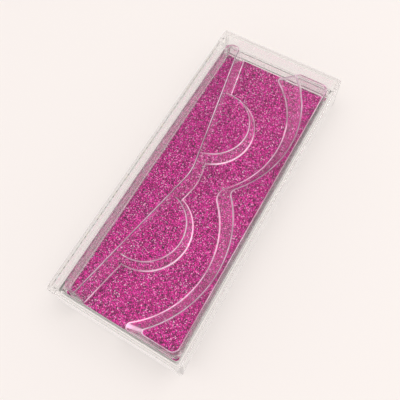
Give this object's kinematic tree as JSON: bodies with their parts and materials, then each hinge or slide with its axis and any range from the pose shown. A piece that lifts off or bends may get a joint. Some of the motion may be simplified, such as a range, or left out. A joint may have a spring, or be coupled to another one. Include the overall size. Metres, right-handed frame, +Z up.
{
  "type": "false eyelash case",
  "caption": "Slim clear box with a lift-off lid, a formed clear tray on glitter card for false lashes, and a sheet of stones under its base.",
  "frame": {"origin": "Middle of the flat face under the rim of the base, which the case rests on.", "axes": "+X across the case from the waisted bank to the lobed bank, +Y along its length, +Z up through the lid."},
  "size_m": [0.047, 0.112, 0.015],
  "materials": {
    "clear_moulding": "clear, polished",
    "clear_sheet": "clear, thin, glossy",
    "glitter": "magenta glitter",
    "film": "satin backing film",
    "stones": "cut resin stones with an iridescent coat"
  },
  "bodies": {
    "base": {"base": "clear_moulding", "glitter_card": "glitter", "stone_film": "film", "rhinestones": "stones"},
    "tray": {"lash_tray": "clear_sheet"},
    "lid": {"lid": "clear_moulding"}
  },
  "joints": [
    {"name": "tray_lift", "type": "slide", "parent": "base", "child": "tray", "axis": [0, 0, 1], "range_m": [0, 0.02]},
    {"name": "lid_lift", "type": "slide", "parent": "tray", "child": "lid", "axis": [0, 0, 1], "range_m": [0, 0.03]}
  ]
}
